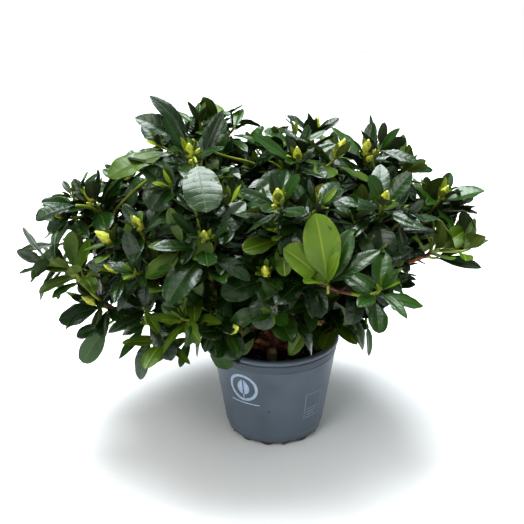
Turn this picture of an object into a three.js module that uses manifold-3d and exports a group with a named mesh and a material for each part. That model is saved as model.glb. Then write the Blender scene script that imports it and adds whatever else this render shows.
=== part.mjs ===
// A young azalea shrub in a round plastic nursery pot.
// Millimetres, +Z up, -Y is the front. The origin is the middle of the pot's flat underside.
// A short trunk stands in the peat and forks low down into tapering boughs, and each bough ends
// where it enters one of the uneven masses of leaves that together make the shell of the crown.
import * as THREE from 'three';
import { mergeVertices } from 'three/addons/utils/BufferGeometryUtils.js';
import Module from 'manifold-3d';

const wasm = await Module();
wasm.setup();

// ---------------------------------------------------------------- driving dimensions

const GAP = 0.4; // clearance between solids that touch on the real plant

const pot = {
  height: 98.5,
  rimRadius: 61.5,
  rimBand: 12, // height of the upright band under the lip
  bandRadius: 60.2,
  neckRadius: 58.8, // outside, just under the band
  heelRadius: 47.4, // outside, where the wall turns in to the foot
  heelHeight: 12,
  footRadius: 43,
  wall: 2,
  floor: 5,
  segments: 48,
};

const feet = {
  count: 14, // notches round the foot, with as many feet between them
  inner: 33,
  width: 11,
  height: 2.8,
};

const soil = {
  top: 84,
  segments: 48,
};

const trunk = {
  centre: [-2, -8], // the plant stands a little in front of the pot's axis
  flareRadius: 8.5,
  flareLobes: 5,
  neckRadius: 5.6,
  topRadius: 6.4,
  height: 17,
  lean: [-1.5, 1], // how far the top is shifted from the foot
  sides: 14,
};

const stub = {
  centre: [-3, -27],
  footRadius: 5,
  topRadius: 4.4,
  height: 11,
  lean: [0.5, -1],
  sides: 9,
};

// The forks of three tiers. A tier's boughs leave the trunk at the heights in turn.
const bough = {
  sides: 6,
  steps: 7,
  low: { heights: [88, 94], distance: 9.4, apart: 30, rise: 28, startRadius: 2.6, endRadius: 1.7 },
  high: { heights: [103.2], distance: 6.1, apart: 50, rise: 62, startRadius: 2.3, endRadius: 1.5 },
  leader: { heights: [101.8], distance: 0, apart: 0, rise: 88, startRadius: 2.4, endRadius: 1.6 },
};

// The crown is a shell of leaf masses round this point. Each mass is broad across the shell
// and thinner through it.
const crownHeart = new THREE.Vector3(0, 0, 105);
const lowestLeaf = 100.5;
const lumpiness = 0.2;

// Each tier's masses: name, bearing in degrees (0 is +X, 270 is the front), reach, height, size.
const tiers = [
  {
    broad: 50,
    thick: 33,
    masses: [
      ['right_low', 338, 104, 170, 0.72],
      ['right_back_low', 20, 128, 188, 0.82],
      ['back_right_low', 55, 134, 176, 1],
      ['back_low', 92, 138, 166, 1.05],
      ['back_left_low', 128, 144, 158, 1.05],
      ['left_back_low', 163, 162, 158, 1],
      ['left_low', 196, 172, 146, 0.9],
      ['left_front_low', 218, 140, 150, 0.92],
    ],
  },
  {
    broad: 38,
    thick: 28,
    masses: [
      ['rim_left', 238, 92, 148, 1],
      ['rim_right', 318, 86, 144, 0.85],
    ],
  },
  {
    broad: 48,
    thick: 34,
    masses: [
      ['right_tip', 345, 162, 208, 0.76],
      ['right_shoulder', 6, 152, 218, 0.84],
      ['back_right', 38, 138, 218, 1.06],
      ['back_middle', 76, 142, 218, 1.1],
      ['back_left', 114, 148, 214, 1.1],
      ['left_back_shoulder', 148, 158, 210, 1.08],
      ['left_upper', 179, 174, 226, 0.85],
      ['left_tip', 196, 192, 190, 0.86],
      ['left_front', 214, 138, 216, 0.95],
      ['front_left_low', 244, 124, 184, 0.95],
      ['front_low', 268, 114, 200, 0.9],
      ['front_right', 292, 136, 212, 1],
      ['right_front', 314, 110, 206, 0.86],
    ],
  },
  {
    broad: 47,
    thick: 32,
    masses: [
      ['front_left', 243, 124, 238, 1],
      ['front_middle', 276, 114, 250, 1],
      ['right_upper', 320, 112, 244, 0.95],
      ['top_left', 210, 86, 276, 1],
      ['top_left_back', 156, 84, 286, 1.02],
      ['top_middle', 100, 24, 268, 0.95],
      ['top_right', 312, 48, 270, 0.95],
      ['top_right_end', 356, 88, 266, 0.95],
      ['back_top', 66, 92, 254, 1.06],
    ],
  },
];

// Each bough: name, the tier of forks it leaves the trunk at, and the mass it ends in.
const boughs = [
  ['bough_right', 'low', 'right_low'],
  ['bough_right_back', 'low', 'right_back_low'],
  ['bough_back_right', 'low', 'back_right_low'],
  ['bough_back', 'low', 'back_low'],
  ['bough_back_left', 'low', 'back_left_low'],
  ['bough_left_back', 'low', 'left_back_low'],
  ['bough_left', 'low', 'left_low'],
  ['bough_left_front', 'low', 'left_front_low'],
  ['bough_rim_left', 'low', 'rim_left'],
  ['bough_rim_right', 'low', 'rim_right'],
  ['bough_upper_right', 'high', 'right_tip'],
  ['bough_upper_back_right', 'high', 'back_right'],
  ['bough_upper_back_left', 'high', 'back_left'],
  ['bough_upper_left', 'high', 'left_upper'],
  ['bough_upper_front_left', 'high', 'front_left_low'],
  ['bough_upper_front_right', 'high', 'front_right'],
  ['bough_leader', 'leader', 'top_middle'],
];

// ---------------------------------------------------------------- materials

const material = (color, roughness) => new THREE.MeshStandardMaterial({ color, roughness, metalness: 0 });
const plastic = material(0x4e5862, 0.42);
const peat = material(0x1d1712, 0.95);
const bark = material(0x5a3a26, 0.8);
const leafGreens = [0x1f4420, 0x28502a, 0x356229].map((green) => material(green, 0.45));

// ---------------------------------------------------------------- helpers

const group = new THREE.Group();

function addPart(name, geometry, look) {
  const mesh = new THREE.Mesh(geometry, look);
  mesh.name = name;
  group.add(mesh);
  return mesh;
}

// A repeatable stream of numbers from 0 to 1.
function randomFrom(seed) {
  let state = seed;
  return () => {
    state = (state * 16807) % 2147483647;
    return state / 2147483647;
  };
}

function onBearing(bearing, reach, height) {
  const angle = THREE.MathUtils.degToRad(bearing);
  return new THREE.Vector3(reach * Math.cos(angle), reach * Math.sin(angle), height);
}

// A three.js geometry as a manifold-3d solid.
function toSolid(geometry) {
  const bare = geometry.clone();
  bare.deleteAttribute('normal');
  bare.deleteAttribute('uv');
  const merged = mergeVertices(bare, 1e-4);
  return new wasm.Manifold(new wasm.Mesh({
    numProp: 3,
    vertProperties: new Float32Array(merged.attributes.position.array),
    triVerts: new Uint32Array(merged.index.array),
  }));
}

function toGeometry(solid) {
  const mesh = solid.getMesh();
  const geometry = new THREE.BufferGeometry();
  geometry.setAttribute('position', new THREE.BufferAttribute(mesh.vertProperties, 3));
  geometry.setIndex(new THREE.BufferAttribute(mesh.triVerts, 1));
  return geometry;
}

// A closed tube through rings of points that all have the same number of sides. Each flat end is
// a fan round its own middle point.
function ringedSolid(rings) {
  const sides = rings[0].length;
  const last = rings.length - 1;
  const middleOf = (ring) => ring
    .reduce((sum, point) => sum.add(point), new THREE.Vector3())
    .divideScalar(sides);
  const points = [...rings.flat(), middleOf(rings[0]), middleOf(rings[last])];
  const footMiddle = points.length - 2;
  const topMiddle = points.length - 1;
  const faces = [];
  for (let side = 0; side < sides; side += 1) {
    const next = (side + 1) % sides;
    for (let ring = 0; ring < last; ring += 1) {
      const here = ring * sides;
      const above = here + sides;
      faces.push(here + side, here + next, above + next);
      faces.push(here + side, above + next, above + side);
    }
    faces.push(footMiddle, next, side);
    faces.push(topMiddle, last * sides + side, last * sides + next);
  }
  const positions = points.flatMap((point) => point.toArray());
  const geometry = new THREE.BufferGeometry();
  geometry.setAttribute('position', new THREE.Float32BufferAttribute(positions, 3));
  geometry.setIndex(faces);
  return geometry;
}

// ---------------------------------------------------------------- pot and peat

const insideRadius = (height) => {
  const share = (height - pot.heelHeight) / (pot.height - pot.rimBand - pot.heelHeight);
  return THREE.MathUtils.lerp(pot.heelRadius, pot.neckRadius, share) - pot.wall;
};

function potProfile() {
  const bandFoot = pot.height - pot.rimBand;
  const lipInside = insideRadius(pot.height);
  return [
    [0, 0],
    [pot.footRadius, 0],
    [pot.footRadius + 1.8, 1.6],
    [pot.heelRadius - 0.8, pot.heelHeight - 4],
    [pot.heelRadius, pot.heelHeight],
    [pot.neckRadius, bandFoot],
    [pot.bandRadius, bandFoot + 0.6],
    [pot.bandRadius + 0.4, pot.height - 4],
    [pot.rimRadius, pot.height - 2.8],
    [pot.rimRadius, pot.height - 1.2],
    [pot.rimRadius - 1, pot.height],
    [lipInside + 0.8, pot.height],
    [lipInside, pot.height - 1],
    [insideRadius(pot.heelHeight), pot.heelHeight],
    [pot.footRadius - pot.wall, pot.floor],
    [0, pot.floor],
  ].map(([radius, height]) => new THREE.Vector2(radius, height));
}

function lathe(profile, segments) {
  const geometry = new THREE.LatheGeometry(profile, segments);
  geometry.rotateX(Math.PI / 2);
  return geometry;
}

function potGeometry() {
  let body = toSolid(lathe(potProfile(), pot.segments));
  const length = pot.heelRadius + 2 - feet.inner;
  for (let notch = 0; notch < feet.count; notch += 1) {
    const cutter = new THREE.BoxGeometry(length, feet.width, 2 * feet.height);
    cutter.translate(feet.inner + length / 2, 0, 0);
    cutter.rotateZ((2 * Math.PI * (notch + 0.5)) / feet.count);
    body = body.subtract(toSolid(cutter));
  }
  return toGeometry(body);
}

function soilProfile() {
  const bottom = pot.floor + GAP;
  const shoulder = pot.heelHeight;
  return [
    [0, bottom],
    [pot.footRadius - pot.wall - 2 * GAP, bottom],
    [insideRadius(shoulder) - GAP, shoulder + GAP],
    [insideRadius(soil.top) - GAP, soil.top],
    [0, soil.top],
  ].map(([radius, height]) => new THREE.Vector2(radius, height));
}

addPart('pot', potGeometry(), plastic);
addPart('soil', lathe(soilProfile(), soil.segments), peat);

// ---------------------------------------------------------------- trunk and stub

// An upright stem: radiusAt gives the radius at a share of its height and an angle round it.
function stemGeometry(stem, levels, radiusAt) {
  const foot = soil.top + GAP;
  const rings = levels.map((share) => {
    const middle = new THREE.Vector2(stem.centre[0], stem.centre[1]);
    middle.addScaledVector(new THREE.Vector2(...stem.lean), share);
    return Array.from({ length: stem.sides }, (_, side) => {
      const angle = (2 * Math.PI * side) / stem.sides;
      const radius = radiusAt(share, angle);
      return new THREE.Vector3(
        middle.x + radius * Math.cos(angle),
        middle.y + radius * Math.sin(angle),
        foot + share * stem.height,
      );
    });
  });
  return ringedSolid(rings);
}

function trunkRadius(share, angle) {
  const flare = (1 - share) ** 3;
  const lobes = 1 + 0.16 * flare * Math.cos(trunk.flareLobes * angle);
  const waist = THREE.MathUtils.lerp(trunk.neckRadius, trunk.topRadius, share);
  return THREE.MathUtils.lerp(waist, trunk.flareRadius, flare) * lobes;
}

const stubRadius = (share) => THREE.MathUtils.lerp(stub.footRadius, stub.topRadius, share);

addPart('trunk', stemGeometry(trunk, [0, 0.12, 0.3, 0.6, 1], trunkRadius), bark);
addPart('stub_front', stemGeometry(stub, [0, 0.45, 1], stubRadius), bark);

// ---------------------------------------------------------------- masses of leaves

const masses = tiers.flatMap((tier) => tier.masses.map(([place, bearing, reach, height, size]) => {
  const centre = onBearing(bearing, reach, height);
  return {
    place,
    bearing,
    centre,
    outward: centre.clone().sub(crownHeart).normalize(),
    broad: tier.broad * size,
    thick: tier.thick * size,
  };
}));

// How far a mass reaches from its middle along a direction, before lumps and neighbours.
function plainRadius(mass, direction) {
  const through = direction.dot(mass.outward);
  const across = Math.sqrt(Math.max(0, 1 - through ** 2));
  return 1 / Math.hypot(through / mass.thick, across / mass.broad);
}

// A mass stops at a flat place half way to each neighbour, shared out by their sizes.
function neighbourLimit(mass, other, direction) {
  const between = other.centre.clone().sub(mass.centre);
  const distance = between.length();
  between.normalize();
  const facing = direction.dot(between);
  if (facing <= 0) return Infinity;
  const mine = plainRadius(mass, between);
  const theirs = plainRadius(other, between.clone().negate());
  const share = mine / (mine + theirs);
  return (distance * share - GAP) / facing;
}

function massRadius(mass, direction, lump) {
  let radius = plainRadius(mass, direction) * lump;
  for (const other of masses) {
    if (other !== mass) radius = Math.min(radius, neighbourLimit(mass, other, direction));
  }
  if (direction.z < 0) radius = Math.min(radius, (lowestLeaf - mass.centre.z) / direction.z);
  return radius;
}

function massGeometry(mass, seed) {
  const random = randomFrom(7919 * seed);
  const ball = new THREE.IcosahedronGeometry(1, 2);
  ball.deleteAttribute('normal');
  ball.deleteAttribute('uv');
  const geometry = mergeVertices(ball, 1e-4);
  const position = geometry.getAttribute('position');
  const direction = new THREE.Vector3();
  for (let index = 0; index < position.count; index += 1) {
    direction.fromBufferAttribute(position, index).normalize();
    const lump = 1 + lumpiness * (random() - 0.45);
    const point = mass.centre.clone().addScaledVector(direction, massRadius(mass, direction, lump));
    position.setXYZ(index, point.x, point.y, point.z);
  }
  return geometry;
}

// ---------------------------------------------------------------- boughs

// Bearings as near to the wanted ones as they can be while neighbours stay apart.
function spreadBearings(wanted, apart) {
  const spread = [...wanted];
  for (let round = 0; round < 40; round += 1) {
    for (let index = 0; index < spread.length; index += 1) {
      const next = (index + 1) % spread.length;
      const turn = next === 0 ? 360 : 0;
      const short = (apart - (spread[next] + turn - spread[index])) / 2;
      if (short > 0) {
        spread[index] -= short;
        spread[next] += short;
      }
    }
  }
  return spread;
}

// The middle line of a bough, from its fork on the trunk to the skin of its mass.
function boughCurve(fork, startBearing, startHeight, mass) {
  const top = new THREE.Vector3(trunk.centre[0] + trunk.lean[0], trunk.centre[1] + trunk.lean[1], 0);
  const start = onBearing(startBearing, fork.distance, startHeight).add(top);
  const rise = THREE.MathUtils.degToRad(fork.rise);
  const heading = onBearing(startBearing, Math.cos(rise), Math.sin(rise));
  const towards = start.clone().sub(mass.centre).normalize();
  const skin = massRadius(mass, towards, 1 + 0.55 * lumpiness);
  const end = mass.centre.clone().addScaledVector(towards, skin + GAP + fork.endRadius);
  const span = start.distanceTo(end);
  const leaving = start.clone().addScaledVector(heading, span * 0.42);
  const arriving = end.clone().addScaledVector(towards, span * 0.25);
  return new THREE.CubicBezierCurve3(start, leaving, arriving, end);
}

function boughGeometry(curve, fork, extra) {
  const frames = curve.computeFrenetFrames(bough.steps, false);
  const rings = frames.tangents.map((_, step) => {
    const share = step / bough.steps;
    const middle = curve.getPointAt(share);
    const radius = THREE.MathUtils.lerp(fork.startRadius, fork.endRadius, share) + extra;
    return Array.from({ length: bough.sides }, (__, side) => {
      const angle = (2 * Math.PI * side) / bough.sides;
      return middle.clone()
        .addScaledVector(frames.normals[step], radius * Math.cos(angle))
        .addScaledVector(frames.binormals[step], radius * Math.sin(angle));
    });
  });
  return ringedSolid(rings);
}

const clearances = []; // the room that each bough needs where it passes a mass

// The boughs of one tier of forks, in the order of their bearings round the trunk.
function addBoughs(level) {
  const fork = bough[level];
  const members = boughs.filter(([, its]) => its === level).map(([name, , place]) => {
    const mass = masses.find((one) => one.place === place);
    return { name, mass, bearing: mass.bearing };
  });
  members.sort((one, other) => one.bearing - other.bearing);
  const bearings = spreadBearings(members.map(({ bearing }) => bearing), fork.apart);
  members.forEach(({ name, mass }, index) => {
    const height = fork.heights[index % fork.heights.length];
    const curve = boughCurve(fork, bearings[index], height, mass);
    addPart(name, boughGeometry(curve, fork, 0), bark);
    clearances.push(toSolid(boughGeometry(curve, fork, GAP)));
  });
}

['low', 'high', 'leader'].forEach(addBoughs);

// A mass of leaves with room cut in it for the boughs that pass.
function clearedMass(mass, seed) {
  let solid = toSolid(massGeometry(mass, seed));
  for (const clearance of clearances) solid = solid.subtract(clearance);
  return toGeometry(solid);
}

masses.forEach((mass, index) => {
  addPart(`leaves_${mass.place}`, clearedMass(mass, index + 1), leafGreens[index % leafGreens.length]);
});

export default group;
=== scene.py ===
"""A young azalea shrub in a round plastic nursery pot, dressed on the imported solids.

The limbs get bark relief. Each mass of leaves becomes twigs, rosettes of leaves and buds, which
grow on from the limbs by a seeded branching rule. Metres, +Z up, and -Y is the plant's front.
"""
import math

import bpy
import numpy as np
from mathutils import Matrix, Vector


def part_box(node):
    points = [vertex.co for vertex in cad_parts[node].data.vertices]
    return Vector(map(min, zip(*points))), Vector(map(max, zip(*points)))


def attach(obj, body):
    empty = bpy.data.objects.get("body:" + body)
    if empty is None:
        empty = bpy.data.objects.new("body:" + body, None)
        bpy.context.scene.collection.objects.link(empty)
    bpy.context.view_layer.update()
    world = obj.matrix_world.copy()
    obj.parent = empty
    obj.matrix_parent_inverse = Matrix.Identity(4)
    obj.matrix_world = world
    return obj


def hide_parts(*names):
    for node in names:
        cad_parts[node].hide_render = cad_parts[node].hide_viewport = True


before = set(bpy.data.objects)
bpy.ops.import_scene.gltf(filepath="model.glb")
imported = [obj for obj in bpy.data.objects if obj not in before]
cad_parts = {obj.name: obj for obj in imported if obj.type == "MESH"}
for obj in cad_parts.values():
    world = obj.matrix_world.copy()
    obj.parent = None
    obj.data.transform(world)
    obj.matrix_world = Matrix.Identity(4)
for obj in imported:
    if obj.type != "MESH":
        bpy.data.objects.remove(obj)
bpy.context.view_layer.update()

MM = 0.001
UP = np.array([0.0, 0.0, 1.0])
LEAF_MAP = "along_and_across"
rng = np.random.default_rng(20)


# ------------ camera, floor and light

def add_camera():
    data = bpy.data.cameras.new("camera")
    data.sensor_width = 36.0
    data.lens = 68.8
    camera = bpy.data.objects.new("camera", data)
    degrees_down = 22.2
    camera.location = (-0.012, -0.86, 0.522)
    camera.rotation_euler = (math.radians(90.0 - degrees_down), 0.0, 0.0)
    bpy.context.scene.collection.objects.link(camera)
    bpy.context.scene.camera = camera


def add_area_light(name, place, aim, size, watts, colour):
    data = bpy.data.lights.new(name, "AREA")
    data.shape = "RECTANGLE"
    data.size, data.size_y = size
    data.energy = watts
    data.color = colour
    light = bpy.data.objects.new(name, data)
    light.location = place
    heading = Vector(aim) - Vector(place)
    light.rotation_euler = heading.to_track_quat("-Z", "Y").to_euler()
    bpy.context.scene.collection.objects.link(light)


def add_world():
    """A white backdrop up to some way above the horizon, and a softer, slightly blue light over it."""
    world = bpy.data.worlds.new("studio")
    world.use_nodes = True
    tree = world.node_tree
    place = tree.nodes.new("ShaderNodeTexCoord")
    split = tree.nodes.new("ShaderNodeSeparateXYZ")
    ramp = tree.nodes.new("ShaderNodeValToRGB")
    low, high = ramp.color_ramp.elements
    low.position, low.color = 0.18, (1.0, 1.0, 1.0, 1.0)
    high.position, high.color = 0.34, (0.24, 0.27, 0.29, 1.0)
    tree.links.new(place.outputs["Generated"], split.inputs["Vector"])
    tree.links.new(split.outputs["Z"], ramp.inputs["Fac"])
    tree.links.new(ramp.outputs["Color"], tree.nodes["Background"].inputs["Color"])
    bpy.context.scene.world = world


def add_studio():
    scene = bpy.context.scene
    scene.view_settings.view_transform = "Standard"
    scene.view_settings.gamma = 0.82
    add_world()
    add_area_light("sky_panel", (-0.1, 0.3, 1.7), (0, 0, 0.2), (1.3, 1.1), 62, (0.92, 0.97, 1.0))
    add_area_light("front_panel", (-0.8, -1.3, 1.3), (0, 0, 0.15), (0.9, 0.9), 15, (1.0, 0.98, 0.95))
    add_area_light("ceiling", (0, 0, 4.6), (0, 0, 0), (9.0, 9.0), 205, (1.0, 1.0, 1.0))
    mesh = bpy.data.meshes.new("floor")
    reach = 2.0
    edge = [(reach * math.cos(a), reach * math.sin(a), 0) for a in full_turn(128)]
    mesh.from_pydata(edge, [], [list(range(len(edge)))])
    floor = bpy.data.objects.new("floor", mesh)
    scene.collection.objects.link(floor)
    mesh.materials.append(plain_material("floor_paper", (0.95, 0.95, 0.95), 0.9))


# ------------ materials

def shader_of(name):
    material = bpy.data.materials.new(name)
    material.use_nodes = True
    return material, material.node_tree.nodes["Principled BSDF"]


def plain_material(name, colour, roughness, specular=0.5):
    material, shader = shader_of(name)
    shader.inputs["Base Color"].default_value = (*colour, 1.0)
    shader.inputs["Roughness"].default_value = roughness
    shader.inputs["Specular IOR Level"].default_value = specular
    return material


def object_place(material):
    """The socket that says where on its object each point of a surface is."""
    return material.node_tree.nodes.new("ShaderNodeTexCoord").outputs["Object"]


def add_noise(material, place, scale, detail):
    """The socket of a noise over a surface."""
    tree = material.node_tree
    noise = tree.nodes.new("ShaderNodeTexNoise")
    noise.inputs["Scale"].default_value = scale
    noise.inputs["Detail"].default_value = detail
    tree.links.new(place, noise.inputs["Vector"])
    return noise.outputs["Fac"]


def add_bump(material, height, depth, strength=0.6):
    """Raises the surface by a socket's value times the depth."""
    tree = material.node_tree
    bump = tree.nodes.new("ShaderNodeBump")
    bump.inputs["Distance"].default_value = depth
    bump.inputs["Strength"].default_value = strength
    tree.links.new(height, bump.inputs["Height"])
    tree.links.new(bump.outputs["Normal"], tree.nodes["Principled BSDF"].inputs["Normal"])


def speckled_material(name, stops, scale, roughness, bump_scale, bump_depth, stretch=(1, 1, 1)):
    """Colours that change with a fine noise, over a fine bump. stops are (place, colour) pairs."""
    material, shader = shader_of(name)
    nodes, links = material.node_tree.nodes, material.node_tree.links
    mapping = nodes.new("ShaderNodeMapping")
    mapping.inputs["Scale"].default_value = stretch
    links.new(object_place(material), mapping.inputs["Vector"])
    ramp = nodes.new("ShaderNodeValToRGB")
    elements = ramp.color_ramp.elements
    while len(elements) < len(stops):
        elements.new(0.5)
    for element, (where, colour) in zip(elements, stops):
        element.position = where
        element.color = (*colour, 1.0)
    place = mapping.outputs["Vector"]
    links.new(add_noise(material, place, scale, 6.0), ramp.inputs["Fac"])
    links.new(ramp.outputs["Color"], shader.inputs["Base Color"])
    shader.inputs["Roughness"].default_value = roughness
    add_bump(material, add_noise(material, place, bump_scale, 4.0), bump_depth)
    return material


# ------------ vectors and lines

def unit(vector):
    return vector / max(np.linalg.norm(vector), 1e-9)


def square_to(axis, hint):
    """The unit vector square to axis that is nearest to hint."""
    side = hint - axis * np.dot(hint, axis)
    if np.linalg.norm(side) < 1e-4:
        side = np.cross(axis, (0.3, 0.8, 0.5))
    return unit(side)


def bezier(start, leaving, arriving, end, count):
    t = np.linspace(0, 1, count)[:, None]
    near = (1 - t) ** 3 * start + 3 * (1 - t) ** 2 * t * leaving
    return near + 3 * (1 - t) * t**2 * arriving + t**3 * end


def smooth_line(points, count):
    """A line of count points through the given ones, evenly spread and rounded at each of them."""
    points = np.asarray(points, float)
    padded = np.vstack([2 * points[0] - points[1], points, 2 * points[-1] - points[-2]])
    fine = []
    for a, b, c, d in zip(padded[:-3], padded[1:-2], padded[2:-1], padded[3:]):
        t = np.linspace(0, 1, 12, endpoint=False)[:, None]
        fine.append(0.5 * (2 * b + (c - a) * t + (2 * a - 5 * b + 4 * c - d) * t**2
                           + (3 * b - a - 3 * c + d) * t**3))
    fine = np.vstack([*fine, points[-1:]])
    travelled = np.concatenate([[0], np.cumsum(np.linalg.norm(np.diff(fine, axis=0), axis=1))])
    wanted = np.linspace(0, travelled[-1], count)
    return np.column_stack([np.interp(wanted, travelled, fine[:, axis]) for axis in range(3)])


def full_turn(count):
    """Angles spread evenly round a circle."""
    return np.linspace(0, 2 * math.pi, count, endpoint=False)


def turned(radii, angles, heights):
    """Rings of points round Z, one for each radius."""
    rows = np.empty((len(radii), len(angles), 3))
    rows[..., 0] = radii[:, None] * np.cos(angles)
    rows[..., 1] = radii[:, None] * np.sin(angles)
    rows[..., 2] = heights
    return rows


def length_of(line):
    return float(np.linalg.norm(np.diff(line, axis=0), axis=1).sum())


def heading_at(line, index):
    low, high = max(index - 1, 0), min(index + 1, len(line) - 1)
    return unit(line[high] - line[low])


# ------------ joined meshes

class Pile:
    """Points, faces and the material number of each face, gathered into one mesh."""

    def __init__(self):
        self.points, self.corners, self.sizes, self.looks, self.places = [], [], [], [], []
        self.count = 0

    def add(self, points, faces, looks, places=None):
        """Adds faces that count their own points from 0. places are the points' spots on a leaf."""
        self.points.append(np.asarray(points, float).reshape(-1, 3))
        self.count += len(self.points[-1])
        self.add_faces(faces, looks)
        if places is not None:
            self.places.append(places)

    def add_faces(self, faces, looks):
        """Adds more faces on the points that the last add brought."""
        faces = np.asarray(faces, int)
        self.corners.append((faces + self.count - len(self.points[-1])).ravel())
        self.sizes.append(np.full(len(faces), faces.shape[1]))
        self.looks.append(np.broadcast_to(np.asarray(looks, int), len(faces)))

    def piece(self, name, materials, slot, replaced=()):
        mesh = bpy.data.meshes.new(name)
        points = np.vstack(self.points)
        corners = np.concatenate(self.corners)
        sizes = np.concatenate(self.sizes)
        mesh.vertices.add(len(points))
        mesh.vertices.foreach_set("co", points.astype(np.float32).ravel())
        mesh.loops.add(len(corners))
        mesh.loops.foreach_set("vertex_index", corners.astype(np.int32))
        mesh.polygons.add(len(sizes))
        starts = np.concatenate([[0], np.cumsum(sizes)[:-1]])
        mesh.polygons.foreach_set("loop_start", starts.astype(np.int32))
        mesh.polygons.foreach_set("material_index", np.concatenate(self.looks).astype(np.int32))
        mesh.update(calc_edges=True)
        if self.places:
            layer = mesh.uv_layers.new(name=LEAF_MAP)
            layer.data.foreach_set("uv", np.vstack(self.places)[corners].astype(np.float32).ravel())
        mesh.shade_smooth()
        for material in materials:
            mesh.materials.append(material)
        piece = bpy.data.objects.new(name, mesh)
        bpy.context.scene.collection.objects.link(piece)
        if replaced:
            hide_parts(*replaced)
        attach(piece, "root")
        return piece


def ring_faces(rings, sides):
    """Four-sided faces between rings of points that each close on themselves."""
    ring, side = np.meshgrid(np.arange(rings - 1), np.arange(sides), indexing="ij")
    here = ring * sides + side
    onward = ring * sides + (side + 1) % sides
    return np.stack([here, onward, onward + sides, here + sides], -1).reshape(-1, 4)


def fan(hub, ring, sides):
    """Triangles from a hub to each side of the ring of points that begins at ring."""
    turn = np.arange(sides)
    return np.stack([np.full(sides, hub), ring + turn, ring + (turn + 1) % sides], -1)


def add_closed(pile, rows, start, end, look=0, start_look=0, end_look=0):
    """Rings of points round a shape, closed by a point at each end. look is one number or one a face."""
    count, sides = rows.shape[:2]
    pile.add(np.vstack([rows.reshape(-1, 3), [start], [end]]), ring_faces(count, sides), look)
    pile.add_faces(fan(count * sides, 0, sides)[:, [0, 2, 1]], start_look)
    pile.add_faces(fan(count * sides + 1, (count - 1) * sides, sides), end_look)


def add_tube(pile, line, radii, sides, relief=0.0, grain=3):
    """A closed tube along a line. relief is the share of the radius that its bark stands up."""
    count = len(line)
    heading = np.array([heading_at(line, index) for index in range(count)])
    side = np.empty_like(line)
    side[0] = square_to(heading[0], UP + 0.1)
    for index in range(1, count):
        side[index] = square_to(heading[index], side[index - 1])
    other = np.cross(heading, side)
    angle = full_turn(sides)
    rough = np.zeros((count, sides))
    if relief:
        knots = max(count // grain, 2)
        coarse = rng.normal(0, 1, (knots, sides))
        places = np.linspace(0, knots - 1, count)
        for column in range(sides):
            rough[:, column] = np.interp(places, np.arange(knots), coarse[:, column])
        rough = relief * (rough + 0.45 * rng.normal(0, 1, (count, sides)))
    radius = np.asarray(radii)[:, None] * (1 + rough)
    around = (np.cos(angle)[None, :, None] * side[:, None] + np.sin(angle)[None, :, None] * other[:, None])
    skin = line[:, None] + radius[..., None] * around
    add_closed(pile, skin, line[0], line[-1])


def node_points(name):
    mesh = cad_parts[name].data
    points = np.empty(len(mesh.vertices) * 3, np.float32)
    mesh.vertices.foreach_get("co", points)
    return np.unique(np.round(points.reshape(-1, 3).astype(float), 5), axis=0)


# ------------ pot

pot_radius, _, pot_height = np.array(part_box("pot")[1])
soil_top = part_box("soil")[1].z
heel_height = 0.125 * pot_height
heel_radius = 0.771 * pot_radius
neck_radius = 0.956 * pot_radius
neck_height = pot_height - 12.2 * MM
foot_height = 4.4 * MM


def wall_radius(height):
    share = (height - heel_height) / (neck_height - heel_height)
    return heel_radius + (neck_radius - heel_radius) * share


def arc(centre, radius, start, end, count):
    """Points of an arc in the plane of radius and height, with angles in degrees."""
    angles = np.radians(np.linspace(start, end, count))
    return [(centre[0] + radius * math.cos(a), centre[1] + radius * math.sin(a)) for a in angles]


def pot_outline():
    """Half the pot's section, from the middle of the underside round the lip to the middle inside."""
    lip = 2.7 * MM
    lip_centre = (pot_radius - lip, pot_height - lip)
    band_radius = pot_radius - 2.1 * MM
    foot_radius = 0.699 * pot_radius
    hem = 1.1 * MM
    hem_centre = (foot_radius + 1.3 * MM, foot_height + hem)
    heel_round = 11 * MM
    heel_centre = (wall_radius(heel_height + 3 * MM) - heel_round, heel_height + 3 * MM)
    wall = 1.5 * MM
    floor_top = 6 * MM
    inner_lip = wall_radius(pot_height - 6 * MM) - wall
    outline = [(0, 0.3 * MM), (20 * MM, 0.3 * MM), (24 * MM, 1.2 * MM), (32 * MM, 1.2 * MM), (33.5 * MM, 0)]
    outline += [(foot_radius - 0.6 * MM, 0), (foot_radius, 0.5 * MM), (foot_radius + 0.3 * MM, 2.2 * MM)]
    outline += [(foot_radius + 0.5 * MM, foot_height - 0.2 * MM)]
    outline += arc(hem_centre, hem, -95, -30, 5)
    outline += arc(heel_centre, heel_round, -38, 0, 8)
    outline += [(wall_radius(h), h) for h in np.linspace(heel_height + 6 * MM, neck_height - 1.9 * MM, 12)]
    outline += [(neck_radius - 0.9 * MM, neck_height - 1.1 * MM), (neck_radius - 0.9 * MM, neck_height)]
    outline += arc((band_radius - 0.5 * MM, neck_height + 0.6 * MM), 0.5 * MM, -70, 0, 3)
    outline += [(band_radius, neck_height + 3 * MM), (band_radius, pot_height - 2 * lip - 1.6 * MM)]
    outline += [(band_radius - 0.9 * MM, pot_height - 2 * lip - 0.7 * MM)]
    outline += [(band_radius - 1.1 * MM, pot_height - 2 * lip + 0.4 * MM)]
    outline += arc(lip_centre, lip, -62, 160, 18)
    outline += [(inner_lip, pot_height - 5 * MM)]
    outline += [(wall_radius(h) - wall, h) for h in np.linspace(pot_height - 14 * MM, heel_height, 8)]
    outline += [(foot_radius - wall, floor_top), (0, floor_top)]
    return outline


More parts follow.
